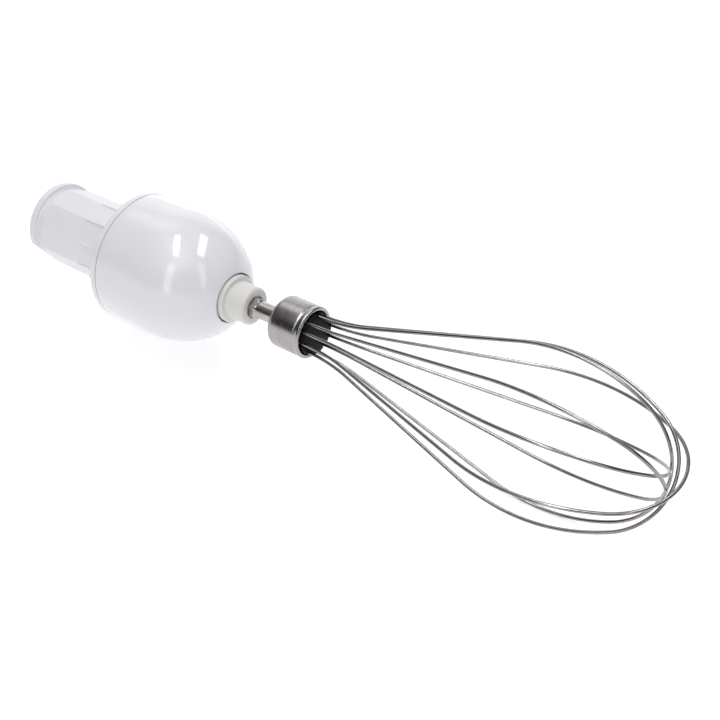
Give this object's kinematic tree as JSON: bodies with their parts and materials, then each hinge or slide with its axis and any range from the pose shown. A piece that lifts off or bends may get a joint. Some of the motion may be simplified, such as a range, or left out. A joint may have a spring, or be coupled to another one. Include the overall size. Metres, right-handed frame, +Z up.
{
  "type": "whisk attachment for a hand blender",
  "caption": "Balloon wire whisk on a dome-shaped planetary reduction gearbox with a ten-sided coupling spigot, for a hand blender.",
  "frame": {"origin": "centre of the coupling spigot's mouth, on the axis of rotation", "axes": "+X along the axis from the spigot to the whisk's tip, +Z up with the part lying on its side, +Y completes a right-handed frame"},
  "size_m": [0.2436, 0.0543, 0.0573],
  "materials": {
    "gloss_white": "gloss",
    "satin_white": "satin",
    "gasket_rubber": "matt",
    "sleeve_nylon": "satin, milky",
    "gear_plastic": "satin",
    "bush_bronze": "sintered",
    "washer_plastic": "matt",
    "dog_plastic": "satin",
    "shaft_steel": "ground",
    "spring_steel": "blackened",
    "carrier_metal": "die cast",
    "shank_steel": "bright drawn",
    "ferrule_steel": "polished",
    "insert_plastic": "satin",
    "whisk_wire": "bright drawn wire"
  },
  "bodies": {
    "gearbox": {"spigot": "satin_white", "rear_cover": "gloss_white", "cover_gasket": "gasket_rubber", "dome_housing": "gloss_white", "ring_gear": "gear_plastic", "nose_bush": "bush_bronze", "nose_seal": "gasket_rubber", "input_bush": "bush_bronze", "rear_thrust_washer": "washer_plastic"},
    "input": {"drive_dog": "dog_plastic", "input_shaft": "shaft_steel", "sun_gear": "shaft_steel", "shaft_ring": "spring_steel"},
    "output": {"planet_carrier": "carrier_metal", "carrier_plate": "carrier_metal", "planet_pins": "shaft_steel", "carrier_screws": "shaft_steel", "pilot_bush": "bush_bronze", "front_thrust_washer": "washer_plastic", "output_sleeve": "sleeve_nylon", "sleeve_pin": "shaft_steel", "shank_ring": "shaft_steel"},
    "planet_1": {"planet_gear_1": "gear_plastic"},
    "planet_2": {"planet_gear_2": "gear_plastic"},
    "planet_3": {"planet_gear_3": "gear_plastic"},
    "whisk": {"whisk_shank": "shank_steel", "ferrule": "ferrule_steel", "wire_insert": "insert_plastic", "wire_loop_1": "whisk_wire", "wire_loop_2": "whisk_wire", "wire_loop_3": "whisk_wire", "wire_loop_4": "whisk_wire", "wire_loop_5": "whisk_wire"}
  },
  "joints": [
    {"name": "output_spin", "type": "hinge", "parent": "gearbox", "child": "output", "pos_m": [0.066, 0, 0], "axis": [1, 0, 0], "continuous": true},
    {"name": "input_spin", "type": "hinge", "parent": "gearbox", "child": "input", "pos_m": [0.04, 0, 0], "axis": [1, 0, 0], "continuous": true},
    {"name": "planet_1_spin", "type": "hinge", "parent": "output", "child": "planet_1", "pos_m": [0.0552, 0.01125, 0], "axis": [1, 0, 0], "continuous": true},
    {"name": "planet_2_spin", "type": "hinge", "parent": "output", "child": "planet_2", "pos_m": [0.0552, -0.00562, 0.00974], "axis": [1, 0, 0], "continuous": true},
    {"name": "planet_3_spin", "type": "hinge", "parent": "output", "child": "planet_3", "pos_m": [0.0552, -0.00562, -0.00974], "axis": [1, 0, 0], "continuous": true},
    {"name": "whisk_release", "type": "slide", "parent": "output", "child": "whisk", "axis": [1, 0, 0], "range_m": [0, 0.018]}
  ],
  "couplings": [
    {"joint": "input_spin", "follows": "output_spin", "ratio": 5},
    {"joint": "planet_1_spin", "follows": "output_spin", "ratio": -2.6667},
    {"joint": "planet_2_spin", "follows": "output_spin", "ratio": -2.6667},
    {"joint": "planet_3_spin", "follows": "output_spin", "ratio": -2.6667}
  ]
}
